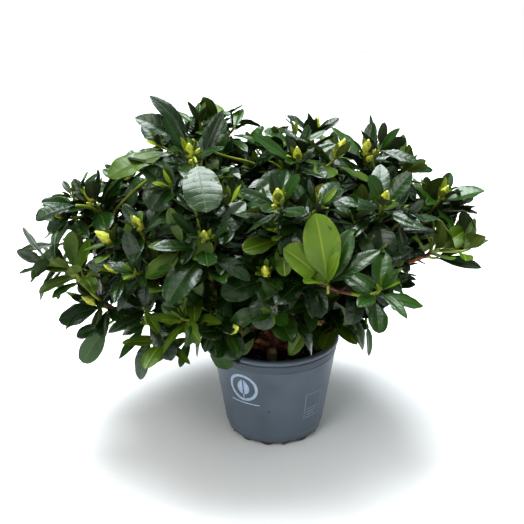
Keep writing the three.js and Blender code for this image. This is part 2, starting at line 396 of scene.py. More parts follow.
def build_pot():
    """The moulded pot, with pointed feet under the hem of its wall and drainage notches between."""
    feet = 14
    outline = pot_outline()
    angle = full_turn(20 * feet)
    radii, heights = np.array(outline[1:-1]).T
    rows = turned(radii, angle, heights[:, None])
    height = rows[..., 2]
    in_foot = (height < foot_height - 0.1 * MM) & (np.hypot(rows[..., 0], rows[..., 1]) > 33 * MM)
    uneven = 0.13 * np.sin(angle * 5 + 1) + 0.1 * np.sin(angle * 9)
    beat = np.abs(((angle * feet / (2 * math.pi) + uneven) % 1) - 0.5) * 2
    notch = (foot_height - 0.3 * MM) * np.clip((0.94 - beat) / 0.62, 0, 1)
    rows[..., 2] = np.where(in_foot, np.maximum(height, notch[None, :]), height)
    pile = Pile()
    # Faces under the hem, which take the darker plastic of dirt and painted shade.
    feet_dirt_and_shade = (height[:-1, 0] < foot_height) & (height[1:, 0] < foot_height)
    # Faces of the band under the lip, which take a darker plastic as painted shade.
    band_under_lip_shade = (height[:-1, 0] > neck_height - 0.1 * MM) & (height[1:, 0] < pot_height - 5 * MM)
    band_under_lip_shade &= np.arange(len(band_under_lip_shade)) < np.argmax(height[:, 0])
    looks = np.repeat(feet_dirt_and_shade + 2 * band_under_lip_shade, len(angle))
    add_closed(pile, rows, (0, 0, outline[0][1]), (0, 0, outline[-1][1]), looks, 1, 0)
    blue_grey = [(0.28, (0.077, 0.095, 0.116)), (0.5, (0.108, 0.136, 0.170)), (0.75, (0.124, 0.158, 0.200))]
    plastic = speckled_material("pot_plastic", blue_grey, 17.0, 0.36, 900.0, 0.00010)
    # Painted shade: the band under the lip gets the plastic's colours at 0.7 of their brightness, for the
    # shade of the lip and leaves over it; its rougher finish is real.
    band_shade_stops = [(place, tuple(0.70 * part for part in colour)) for place, colour in blue_grey]
    dull_and_shaded_plastic = speckled_material("dull_and_shaded_plastic", band_shade_stops, 17.0, 0.5, 700.0, 0.00020)
    # The feet under the hem and the middle of the underside get a much darker plastic: partly dirt, partly
    # painted shade under the pot.
    dirt_and_shade_stops = [(0.3, (0.018, 0.020, 0.020)), (0.5, (0.050, 0.058, 0.064)), (0.7, (0.080, 0.096, 0.110))]
    dirt_and_shade_plastic = speckled_material("dirt_and_shade_plastic", dirt_and_shade_stops, 90.0, 0.6, 900.0, 0.00014)
    pot = pile.piece("nursery_pot", [plastic, dirt_and_shade_plastic, dull_and_shaded_plastic], "pot_plastic", ["pot"])
    pot.data.set_sharp_from_angle(angle=math.radians(42))


def build_gate_mark():
    """The small round scar that moulding leaves on the front of the wall."""
    height = 0.42 * pot_height
    outward = np.array([-0.11, -1, 0]) / math.hypot(0.11, 1)
    place = outward * (wall_radius(height) + 0.05 * MM)
    place[2] = height
    pile = Pile()
    line = np.array([place - outward * 0.4 * MM, place, place + outward * 0.25 * MM])
    add_tube(pile, line, [0.9 * MM, 0.9 * MM, 0.5 * MM], 16)
    dark = [(0.3, (0.016, 0.019, 0.024)), (0.7, (0.028, 0.033, 0.041))]
    scar = speckled_material("gate_scar", dark, 900.0, 0.6, 1200.0, 0.0001)
    pile.piece("gate_mark", [scar], "pot_plastic")


# ------------ printed marks

def on_wall(bearing, height, lift):
    """A point on the pot's wall. bearing is in degrees from +X, 270 is the front."""
    radius = wall_radius(height) + lift
    angle = math.radians(bearing)
    return (radius * math.cos(angle), radius * math.sin(angle), height)


def add_print(pile, bearing, height, outline, width, look=0, closed=True):
    """A printed line along an outline of (across, up) points. width is one size or one a point."""
    points = np.array(outline, float)
    ahead = np.roll(points, -1, 0) - points
    behind = points - np.roll(points, 1, 0)
    if not closed:
        ahead[-1] = behind[-1]
        behind[0] = ahead[0]
    heading = ahead / np.linalg.norm(ahead, axis=1)[:, None]
    heading += behind / np.linalg.norm(behind, axis=1)[:, None]
    heading /= np.linalg.norm(heading, axis=1)[:, None]
    half = np.broadcast_to(np.asarray(width, float) / 2, len(points))
    aside = np.column_stack([-heading[:, 1], heading[:, 0]]) * half[:, None]
    film = 0.12 * MM
    skin = []
    for edge, lift in ((aside, -film), (aside, film), (-aside, film), (-aside, -film)):
        spots = points + edge
        turn = np.degrees(spots[:, 0] / wall_radius(height))
        skin.append([on_wall(bearing + a, height + z, lift) for a, z in zip(turn, spots[:, 1])])
    rings = np.array(skin).transpose(1, 0, 2)
    turn = np.arange(4)
    ends = (len(rings) - 1) * 4
    pile.add(rings.reshape(-1, 3), ring_faces(len(rings), 4), look)
    if closed:
        pile.add_faces(np.stack([ends + turn, ends + (turn + 1) % 4, (turn + 1) % 4, turn], -1), look)
    else:
        pile.add_faces([[3, 2, 1, 0], ends + turn], look)


def build_leaf_mark(pile, bearing, height):
    """A ring round a solid leaf that is split along its midrib, over a thin rule."""
    around = np.radians(np.linspace(0, 360, 56, endpoint=False))
    ring = [(13.6 * MM * math.cos(a), 13.2 * MM * math.sin(a)) for a in around]
    add_print(pile, bearing, height, ring, 2.9 * MM)
    along = np.linspace(0.03, 0.97, 14)
    swell = 5.4 * MM * np.sin(math.pi * along**0.8) + 0.5 * MM
    rise = (along - 0.45) * 16 * MM
    for side in (-1, 1):
        middle = side * (0.5 * MM + swell / 2)
        add_print(pile, bearing, height, np.column_stack([middle, rise]), swell, closed=False)
    stalk = np.column_stack([np.zeros(5), np.linspace(-10.2 * MM, -6.8 * MM, 5)])
    add_print(pile, bearing, height, stalk, 1.5 * MM, closed=False)
    rule = np.column_stack([np.linspace(-16 * MM, 16 * MM, 18), np.full(18, -17.2 * MM)])
    add_print(pile, bearing, height, rule, 1.2 * MM, closed=False)


def build_panel(pile, bearing, height):
    """An empty frame with three plain bars in it, in fainter ink."""
    tall, wide = 13 * MM, 10 * MM
    steps = np.linspace(-1, 1, 8, endpoint=False)
    edge = [(s * wide, -tall) for s in steps] + [(wide, s * tall) for s in steps]
    edge += [(-s * wide, tall) for s in steps] + [(-wide, -s * tall) for s in steps]
    add_print(pile, bearing, height, edge, 0.9 * MM, look=1)
    for number in range(3):
        across = np.linspace(-0.75 * wide, (0.75 - 0.25 * number) * wide, 8)
        bar = np.column_stack([across, np.full(8, -0.25 * tall - number * 3.2 * MM)])
        add_print(pile, bearing, height, bar, 1.1 * MM, look=1, closed=False)


def build_prints():
    """Plain marks in pale ink on the front of the pot."""
    pile = Pile()
    build_leaf_mark(pile, 238, 0.66 * pot_height)
    build_panel(pile, 314, 0.43 * pot_height)
    worn = [(0.3, (0.33, 0.42, 0.53)), (0.6, (0.42, 0.53, 0.66))]
    faint = [(0.3, (0.17, 0.22, 0.26)), (0.6, (0.26, 0.32, 0.37))]
    ink = speckled_material("pale_ink", worn, 420.0, 0.55, 1100.0, 0.00006)
    faint_ink = speckled_material("faint_ink", faint, 520.0, 0.55, 1100.0, 0.00006)
    pile.piece("printed_marks", [ink, faint_ink], "pot_print")


# ------------ peat

def noise_field(scale, count, seed):
    """A smooth random height over the plane, as a sum of waves."""
    waves = np.random.default_rng(seed)
    heading = waves.uniform(0, 2 * math.pi, count)
    pitch = scale * waves.uniform(0.6, 1.8, count)
    phase = waves.uniform(0, 2 * math.pi, count)

    def height(x, y):
        turns = np.add.outer(x, np.zeros(count)) * np.cos(heading) / pitch
        turns = turns + np.add.outer(y, np.zeros(count)) * np.sin(heading) / pitch
        return np.sin(2 * math.pi * turns + phase).sum(-1) / math.sqrt(count)

    return height


peat_swell = noise_field(24 * MM, 9, 5)
peat_lumps = noise_field(6 * MM, 14, 6)


def peat_height(x, y):
    return soil_top + 1.1 * MM * peat_swell(x, y) + 0.9 * MM * peat_lumps(x, y)


def build_peat():
    """The surface of the peat, closed by a skirt and a floor inside the pot."""
    rim = wall_radius(soil_top) - 1.8 * MM
    surface = turned(np.linspace(1, 0, 46)[:-1] * rim, full_turn(150), 0)
    surface[..., 2] = peat_height(surface[..., 0], surface[..., 1])
    floor = soil_top - 12 * MM
    skirt = [surface[0] * (shrink, shrink, 0) + floor * UP for shrink in (0.95, 0.995)]
    rows = np.stack([*skirt, *surface])
    pile = Pile()
    add_closed(pile, rows, (0, 0, floor), (0, 0, peat_height(0, 0)))
    dark = [(0.25, (0.006, 0.004, 0.003)), (0.55, (0.022, 0.014, 0.009)), (0.8, (0.065, 0.038, 0.023))]
    peat = speckled_material("peat", dark, 260.0, 0.95, 700.0, 0.0012)
    pile.piece("peat_surface", [peat], "peat", ["soil"])
    return peat


def add_crumb(pile, place, size):
    """One uneven crumb: a small ball of seven sides."""
    tilt = np.radians(np.linspace(-60, 60, 4))
    angle = full_turn(7) + rng.uniform(0, 6)
    stretch = rng.uniform(0.6, 1.3, 3)
    rows = turned(np.cos(tilt), angle, np.sin(tilt)[:, None])
    rows *= rng.uniform(0.75, 1.15, rows.shape[:2])[..., None]
    rows = rows * stretch * size + place
    pole = UP * size * stretch[2]
    add_closed(pile, rows, place - pole, place + pole)


def scatter_crumbs(name, count, sizes, material, slot, drift=0.0):
    """Crumbs over the peat. drift is the share that lies together, near the rim at the front right."""
    pile = Pile()
    rim = wall_radius(soil_top) - 4 * MM
    for number in range(count):
        radius = rim * math.sqrt(rng.uniform(0.01, 1))
        angle = rng.uniform(0, 2 * math.pi)
        if number < drift * count:
            radius = rim * rng.uniform(0.72, 1)
            angle = math.radians(rng.normal(300, 17))
        x, y = radius * math.cos(angle), radius * math.sin(angle)
        size = rng.uniform(*sizes)
        add_crumb(pile, np.array([x, y, peat_height(x, y) + 0.25 * size]), size)
    pile.piece(name, [material], slot)


# ------------ limbs

trunk_low, trunk_high = (np.array(corner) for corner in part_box("trunk"))
trunk_top = np.array([*(0.5 * (trunk_low + trunk_high))[:2], trunk_high[2]])
bough_names = sorted(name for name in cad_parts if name.startswith("bough_"))
mass_names = sorted(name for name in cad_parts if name.startswith("leaves_"))


def limb_line(name, rings=8, sides=6):
    """The middle points and radii of a bough's rings, from the trunk outwards."""
    points = node_points(name)
    near = np.argsort(np.linalg.norm(points - trunk_top, axis=1))
    start = points[near[: sides + 1]].mean(0)
    order = np.argsort(np.linalg.norm(points - start, axis=1))
    points = points[order]
    groups = [points[: sides + 1]]
    for ring in range(1, rings - 1):
        low = sides + 1 + (ring - 1) * sides
        groups.append(points[low:low + sides])
    groups.append(points[-(sides + 1):])
    middles = np.array([group.mean(0) for group in groups])
    radii = [np.linalg.norm(group - middle, axis=1).max() for group, middle in zip(groups, middles)]
    return middles, np.array(radii)


def bark_material():
    stops = [(0.3, (0.075, 0.026, 0.011)), (0.5, (0.260, 0.092, 0.036)), (0.72, (0.44, 0.20, 0.095))]
    return speckled_material("bark", stops, 220.0, 0.72, 420.0, 0.0009, (1, 1, 0.45))


class Limb:
    """A bough's own line, with how thick it is at each point."""

    def __init__(self, name):
        middles, radii = limb_line(name)
        away = unit(middles[0] - np.array([*trunk_top[:2], middles[0][2]]))
        inside = middles[0] - away * 6 * MM - UP * 2 * MM
        line = np.vstack([inside, middles])
        self.name = name
        count = int(length_of(line) / (1.5 * MM))
        self.line = smooth_line(line, count)
        places = np.linspace(0, 1, len(radii) + 1)
        thick = np.concatenate([[radii[0] * 1.05], radii])
        self.radii = np.interp(np.linspace(0, 1, count), places, thick)


def build_limbs(limbs, bark):
    for label in ("lower", "upper"):
        chosen = [limb for limb in limbs if limb.name.startswith("bough_upper") == (label == "upper")]
        pile = Pile()
        for limb in chosen:
            knobs = 1 + 0.1 * np.maximum(0, np.sin(np.arange(len(limb.line)) / 4.3)) ** 6
            add_tube(pile, limb.line, limb.radii * knobs, 14, relief=0.045)
        pile.piece(f"bark_{label}_boughs", [bark], "bark", [limb.name for limb in chosen])


def build_trunk(bark):
    """The flared trunk and the old cut stem in front of it."""
    foot = np.array([*(0.5 * (trunk_low + trunk_high))[:2], soil_top - 3 * MM])
    line = smooth_line([foot, (foot + trunk_top) / 2, trunk_top + UP * 2 * MM], 22)
    share = np.linspace(0, 1, 22)
    radii = 6 * MM + 2.8 * MM * (1 - share) ** 3 + 0.5 * MM * share**4
    pile = Pile()
    add_tube(pile, line, radii, 26, relief=0.05)
    knuckle = smooth_line([trunk_top, trunk_top + UP * 3 * MM, trunk_top + UP * 6 * MM], 8)
    add_tube(pile, knuckle, np.linspace(6.2, 3.2, 8) * MM, 20, relief=0.06)
    pile.piece("bark_trunk", [bark], "bark", ["trunk"])
    low, high = (np.array(corner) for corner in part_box("stub_front"))
    middle = 0.5 * (low + high)
    foot = np.array([middle[0], middle[1], soil_top - 2 * MM])
    tip = np.array([middle[0] + 0.5 * MM, middle[1], high[2]])
    line = smooth_line([foot, middle, tip], 14)
    radii = np.array([5, 5, 4.9, 4.7, 4.6, 4.5, 4.5, 4.6, 4.6, 4.5, 4.3, 3.9, 3.2, 2.0]) * MM
    pile = Pile()
    add_tube(pile, line, radii, 20, relief=0.08, grain=2)
    # Painted light: the stub's wood is given much paler colours than its own, to make up for the shade it
    # stands in under the crown.
    tan = [(0.3, (0.24, 0.155, 0.08)), (0.55, (0.48, 0.34, 0.19)), (0.8, (0.66, 0.50, 0.31))]
    old_wood_painted_light = speckled_material("old_wood_painted_light", tan, 300.0, 0.85, 500.0, 0.001)
    pile.piece("cut_stub", [old_wood_painted_light], "bark", ["stub_front"])


# ------------ leaves

class LeafGrid:
    """Rows from the foot of a leaf's stalk to its tip, by columns from edge to edge."""

    def __init__(self, rows, columns):
        self.along = np.array(rows)
        self.across = np.array(columns)
        count = len(columns)
        row, column = np.meshgrid(np.arange(len(rows) - 1), np.arange(count - 1), indexing="ij")
        here = row * count + column
        self.top = np.stack([here, here + count, here + count + 1, here + 1], -1).reshape(-1, 4)
        self.under = self.top[:, ::-1] + len(rows) * count
        self.midrib = (column == (count - 2) // 2).ravel()
        along, across = np.meshgrid(self.along, self.across / 2 + 0.5, indexing="ij")
        side = np.column_stack([along.ravel(), across.ravel()])
        self.places = np.vstack([side, side])


FINE = LeafGrid([0, 0.07, 0.13, 0.2, 0.29, 0.38, 0.47, 0.56, 0.65, 0.74, 0.82, 0.89, 0.95, 1.0],
                [-1, -0.72, -0.4, -0.05, 0.05, 0.4, 0.72, 1])
COARSE = LeafGrid([0, 0.1, 0.24, 0.42, 0.6, 0.77, 0.9, 1.0], [-1, -0.55, -0.06, 0.06, 0.55, 1])

# The blade, midrib and underside of each tint, as places in the list of leaf materials.
TINTS = {
    "deep": (0, 7, 10),
    "dark": (1, 7, 10),
    "green": (2, 8, 10),
    "olive": (3, 8, 11),
    "fresh": (4, 9, 11),
    "lime": (5, 9, 12),
    "pale": (6, 9, 12),
}
OLD_TINTS = ["deep", "deep", "dark", "dark", "dark", "green", "green", "green", "olive"]
NEW_TINTS = [*OLD_TINTS, "green", "olive", "fresh", "fresh", "fresh"]


def math_node(tree, operation, first, second=None, third=None):
    node = tree.nodes.new("ShaderNodeMath")
    node.operation = operation
    for socket, value in zip(node.inputs, (first, second, third)):
        if isinstance(value, bpy.types.NodeSocket):
            tree.links.new(value, socket)
        elif value is not None:
            socket.default_value = value
    return node.outputs["Value"]


def add_leaf_relief(material):
    """Side veins pressed in along a chevron, over a skin with fine dimples."""
    tree = material.node_tree
    on_leaf = tree.nodes.new("ShaderNodeUVMap")
    on_leaf.uv_map = LEAF_MAP
    split = tree.nodes.new("ShaderNodeSeparateXYZ")
    tree.links.new(on_leaf.outputs["UV"], split.inputs["Vector"])
    from_midrib = math_node(tree, "ABSOLUTE", math_node(tree, "SUBTRACT", split.outputs["Y"], 0.5))
    slant = math_node(tree, "MULTIPLY", from_midrib, -5.0)
    phase = math_node(tree, "MULTIPLY_ADD", split.outputs["X"], 24.0, slant)
    ridge = math_node(tree, "POWER", math_node(tree, "ABSOLUTE", math_node(tree, "SINE", phase)), 0.45)
    dimples = add_noise(material, object_place(material), 1100.0, 2.0)
    add_bump(material, math_node(tree, "MULTIPLY_ADD", dimples, 1.0, ridge), depth=0.00012, strength=1.0)


def leaf_material(name, colour, roughness, specular):
    material = plain_material(name, colour, roughness, specular)
    add_leaf_relief(material)
    return material


def leaf_materials():
    looks = [
        ("leaf_deep", (0.0046, 0.0195, 0.0012), 0.27, 0.56),
        ("leaf_dark", (0.0078, 0.0320, 0.0018), 0.27, 0.56),
        ("leaf_green", (0.0165, 0.0570, 0.0024), 0.29, 0.52),
        ("leaf_olive", (0.0450, 0.0840, 0.0040), 0.36, 0.36),
        ("leaf_fresh", (0.0680, 0.1260, 0.0052), 0.36, 0.36),
        ("leaf_lime", (0.1180, 0.1980, 0.0160), 0.37, 0.46),
        ("leaf_pale", (0.2600, 0.3200, 0.0250), 0.42, 0.4),
        ("midrib_dark", (0.0260, 0.0520, 0.0080), 0.42, 0.5),
        ("midrib_green", (0.0500, 0.0900, 0.0110), 0.42, 0.5),
        ("midrib_young", (0.2300, 0.2900, 0.0350), 0.45, 0.4),
        ("underside_dark", (0.0420, 0.0620, 0.0230), 0.6, 0.3),
        ("underside_fresh", (0.0900, 0.1250, 0.0200), 0.6, 0.3),
        ("underside_young", (0.1800, 0.2300, 0.0300), 0.6, 0.3),
    ]
    return [leaf_material(*look) for look in looks]


def leaf_outline(u, width, length):
    """Half widths of the blade along it. Narrow leaves are pointed, broad ones blunt and egg-shaped."""
    breadth = width / length
    widest = 0.46 + 0.18 * breadth + rng.uniform(-0.04, 0.05)
    tip_fall = 1.04 - 0.9 * breadth + rng.uniform(-0.08, 0.08)
    foot_rise = tip_fall * widest / (1 - widest)
    peak = widest**foot_rise * (1 - widest) ** tip_fall
    return 0.5 * width * u**foot_rise * (1 - u) ** tip_fall / peak


def leaf_surface(grid, length, width, bend, fold, roll, twist, ripple):
    """The spine, its slope, and the leaf's offsets aside and above it, with its thickness."""
    stalk = 0.09
    t = grid.along[:, None]
    s = grid.across[None, :]
    u = np.clip((t - stalk) / (1 - stalk), 0, 1)
    half = np.maximum(leaf_outline(u, width, length), 0.75 * MM * np.clip(1 - 1.2 * t, 0.15, 1))
    slope = -bend * grid.along**1.4
    middle = 0.5 * (slope[1:] + slope[:-1])
    step = np.diff(grid.along) * length
    x = np.concatenate([[0], np.cumsum(np.cos(middle) * step)])
    z = np.concatenate([[0], np.cumsum(np.sin(middle) * step)])
    swell = 0.05 * half * np.sin(2 * math.pi * (3.1 * u - 0.6 * np.abs(s)) + ripple) * np.abs(s)
    edge_wave = 0.07 * half * s**2 * np.sin(2 * math.pi * 1.3 * u + ripple + 1.5 * np.sign(s))
    lift = np.abs(s) * half * math.sin(fold) - roll * half * s**4 + swell + edge_wave
    groove = np.where(np.abs(s) < 0.1, 0.05 * half, 0)
    across = s * half * math.cos(fold)
    turn = twist * t
    aside = across * np.cos(turn) - (lift - groove) * np.sin(turn)
    above = across * np.sin(turn) + (lift - groove) * np.cos(turn)
    sheet = 0.45 * MM * np.clip(1 - s**2, 0, 1) * np.clip(8 * (1 - t), 0, 1)
    rib = np.where(np.abs(s) < 0.1, 0.75 * MM * (1 - 0.7 * t), 0)
    inner = np.where((t == 0) | (t == 1), 0.0, 1.0)
    return x, z, slope, aside, above, (sheet + rib) * inner


mouth_radius = pot_radius - 2 * MM
mouth_head = pot_height + 34 * MM
stub_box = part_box("stub_front")
stub_x = 0.5 * (stub_box[0].x + stub_box[1].x)


def underside(spot):
    """How low leaves hang there: the crown's underside rises to the front, to the right and left."""
    to_front = 0.6 * (-spot[1] - 1.22 * pot_radius)
    to_right = min(0.8 * spot[0], 22 * MM) + max(0.0, spot[0] - 1.3 * pot_radius)
    to_left = min(0.6 * (-spot[0] - 0.9 * pot_radius), 24 * MM)
    return pot_height + max(0.0, to_front, to_right, to_left)


def in_the_way(spot):
    """Whether a leaf's tip would lie in the pot's mouth, or hang before the old stub."""
    in_mouth = np.hypot(spot[0], spot[1]) < mouth_radius and spot[2] < mouth_head
    over_stub = abs(spot[0] - stub_x) < 25 * MM and spot[1] < 0 and spot[2] < pot_height + 55 * MM
    return in_mouth or over_stub


def add_leaf(pile, foot, along, facing, length, width, tint, bend, fold=0.16, roll=0.1, twist=0.0,
             grid=FINE, hanging=False):
    """One closed leaf whose stalk leaves foot along a direction, with its top towards facing."""
    uneven = rng.uniform(-7, 9) * MM
    for _ in range(0 if hanging else 8):
        tip = foot + along * length * 0.95
        tip[2] -= length * bend * 0.4
        if tip[2] > underside(tip) + uneven:
            break
        along = unit(along + 0.16 * UP)
    if not hanging and (in_the_way(tip) or tip[2] < underside(tip) + uneven):
        return
    facing = square_to(along, facing)
    side = np.cross(facing, along)
    ripple = rng.uniform(0, 6.3)
    x, z, slope, aside, above, depth = leaf_surface(grid, length, width, bend, fold, roll, twist, ripple)
    spine = foot + x[:, None] * along + z[:, None] * facing
    normal = -np.sin(slope)[:, None] * along + np.cos(slope)[:, None] * facing
    top = spine[:, None] + aside[..., None] * side + above[..., None] * normal[:, None]
    under = top - depth[..., None] * normal[:, None]
    points = np.vstack([top.reshape(-1, 3), under.reshape(-1, 3)])
    blade, midrib, back = TINTS[tint]
    pile.add(points, grid.top, np.where(grid.midrib, midrib, blade), grid.places)
    pile.add_faces(grid.under, back)


GOLDEN_ANGLE = math.radians(137.5)
FRONT = np.array([0.0, -1.0, 0.0])


def add_rosette(pile, shoot, grid=FINE):
    """Leaves in a spiral down from the tip of a shoot, the youngest upright and the oldest spread.

    A shoot with a heart turns its oldest leaf, a broad one, outward and to the front.
    """
    axis = shoot.axis
    side = square_to(axis, np.array([0.9, -0.3, 0.2]))
    other = np.cross(axis, side)
    turn = rng.uniform(0, 2 * math.pi)
    if shoot.heart:
        outward = unit((shoot.tip - crown_heart) * (1, 1, 0)) + FRONT * 0.7
        turn = math.atan2(outward @ other, outward @ side) - shoot.count * GOLDEN_ANGLE
    to_light = 0.34
    youngest_spread, added_spread = 24, 66
    youngest_length, added_length = 24, 17
    for index in range(shoot.count):
        age = index / max(shoot.count - 1, 1)
        turn += GOLDEN_ANGLE + rng.normal(0, 0.14)
        radial = side * math.cos(turn) + other * math.sin(turn)
        degrees = youngest_spread + added_spread * age**0.7 * shoot.openness + rng.normal(0, 9)
        spread = math.radians(degrees)
        along = unit(axis * math.cos(spread) + radial * math.sin(spread) - 0.12 * age * UP)
        facing = axis * math.sin(spread) - radial * math.cos(spread)
        facing = unit(facing * (1 - to_light) + UP * to_light + rng.normal(0, 0.12, 3))
        length = shoot.size * (youngest_length + added_length * min(1, age * 2.4)) * MM
        length = length * rng.uniform(0.80, 1.16)
        slim, middling, broad = rng.uniform(0.27, 0.37), rng.uniform(0.34, 0.44), rng.uniform(0.42, 0.54)
        width = length * rng.choice([slim, middling, broad])
        if shoot.heart and index == shoot.count - 1:
            width = length * rng.uniform(0.54, 0.62)
        foot = shoot.tip - axis * (1.0 + 14 * age) * MM + radial * 1.0 * MM
        bend = math.radians(6 + 34 * age + rng.normal(0, 12))
        tint = shoot.tint
        if rng.uniform() < 0.16 and tint in OLD_TINTS:
            tint = rng.choice(OLD_TINTS)
        add_leaf(pile, foot, along, facing, length, width, tint, bend, rng.uniform(0.05, 0.34),
                 rng.uniform(0.03, 0.2), rng.normal(0, 0.3), grid)


def add_heart(pile, shoot):
    """The small bright leaves that stand round the tip of a growing shoot."""
    side = square_to(shoot.axis, np.array([0.1, -0.9, 0.2]))
    other = np.cross(shoot.axis, side)
    turn = rng.uniform(0, 2 * math.pi)
    for _ in range(int(rng.integers(3, 6))):
        turn += GOLDEN_ANGLE
        radial = side * math.cos(turn) + other * math.sin(turn)
        along = unit(shoot.axis + radial * rng.uniform(0.25, 0.6))
        length = rng.uniform(11, 21) * MM
        tint = rng.choice(["fresh", "lime", "lime", "pale"])
        foot = shoot.tip + radial * 1.6 * MM - shoot.axis * 1.5 * MM
        add_leaf(pile, foot, along, shoot.axis - radial, length, length * rng.uniform(0.26, 0.36),
                 tint, math.radians(rng.uniform(-10, 25)), 0.4, 0.05, 0.0, COARSE)


def add_stem_leaves(pile, line, first, gap, grid):
    """Older leaves along a twig, below its rosette."""
    spacing = length_of(line) / (len(line) - 1)
    turn = rng.uniform(0, 2 * math.pi)
    place = int(first * len(line))
    while place < len(line) - int(13 * MM / spacing) - 1:
        axis = heading_at(line, place)
        side = square_to(axis, UP)
        turn += GOLDEN_ANGLE
        radial = side * math.cos(turn) + np.cross(axis, side) * math.sin(turn)
        along = unit(0.4 * axis + radial + 0.25 * UP)
        length = rng.uniform(26, 42) * MM
        facing = unit(0.5 * axis + UP)
        add_leaf(pile, line[place] + radial * 0.8 * MM, along, facing, length,
                 length * rng.uniform(0.3, 0.46), rng.choice(OLD_TINTS[:6]),
                 math.radians(rng.uniform(10, 40)), grid=grid)
        place += max(1, int(gap * rng.uniform(0.7, 1.3) / spacing))


# ------------ buds

def bud_material(name, colour):
    """One of the bud's colours, over a skin of very fine down."""
    material = plain_material(name, colour, 0.42)
    add_bump(material, add_noise(material, object_place(material), 1400.0, 4.0), 0.00025)
    return material


def add_bud(pile, foot, axis, length, width):
    """A pointed bud of overlapping scales, with blushed edges and a pale point."""
    side = square_to(axis, np.array([0.2, 0.9, 0.1]))
    other = np.cross(axis, side)
    t = np.linspace(0.0, 1.0, 13)[1:-1]
    angle = full_turn(15)
    spiral = (angle[None, :] / (2 * math.pi) * 3 + t[:, None] * 3.4) % 1
    swell = np.sin(math.pi * t**0.66)[:, None] ** 0.8
    radius = 0.5 * width * swell * (0.85 + 0.2 * spiral)
    around = np.cos(angle)[None, :, None] * side + np.sin(angle)[None, :, None] * other
    rings = foot + axis * (t * length)[:, None, None] + radius[..., None] * around
    add_closed(pile, rings, foot, foot + axis * length, (spiral[:-1] > 0.8).ravel(), 0, 2)


def add_buds(pile, shoot):
    """One plump bud on the shoot's tip, with smaller ones beside it."""
    side = square_to(shoot.axis, np.array([0.0, -1.0, 0.0]))
    other = np.cross(shoot.axis, side)
    foot = shoot.tip - shoot.axis * 2 * MM
    add_bud(pile, foot, shoot.axis, rng.uniform(16.5, 20.5) * MM, rng.uniform(8.2, 10.2) * MM)
    turn = rng.uniform(-0.8, 0.8)
    for _ in range(shoot.buds - 1):
        radial = side * math.cos(turn) + other * math.sin(turn)
        beside = foot + radial * 5 * MM - shoot.axis * 1.5 * MM
        length, width = rng.uniform(9, 12) * MM, rng.uniform(5.2, 6.6) * MM
        add_bud(pile, beside, unit(shoot.axis + 0.55 * radial), length, width)
        turn += rng.uniform(1.5, 2.3)


# ------------ crown

crown_heart = np.array([0, 0, soil_top + 21 * MM])


class Shoot:
    """The growing tip of a twig: where it is and what its leaves and buds are like."""

    def __init__(self, tip, axis, tint, size=1.0, openness=1.0, count=9, buds=0, heart=False):
        self.tip, self.axis, self.tint, self.size = tip, axis, tint, size
        self.openness, self.count, self.buds, self.heart = openness, count, buds, heart


class Mass:
    """Where a mass of leaves is, which way it faces and how far it reaches."""

    def __init__(self, name):
        self.name = name
        self.place = name.removeprefix("leaves_")
        self.points = node_points(name)
        low, high = self.points.min(0), self.points.max(0)
        self.middle, self.half = 0.5 * (low + high), 0.5 * (high - low)
        self.outward = unit(self.points.mean(0) - crown_heart)
        self.thick = np.abs((self.points - self.middle) @ self.outward).max()

    def spot(self, depth):
        """A random place in the mass, depth below its skin."""
        skin = self.points[rng.integers(len(self.points))]
        inward = self.middle - skin
        return skin + unit(inward) * depth


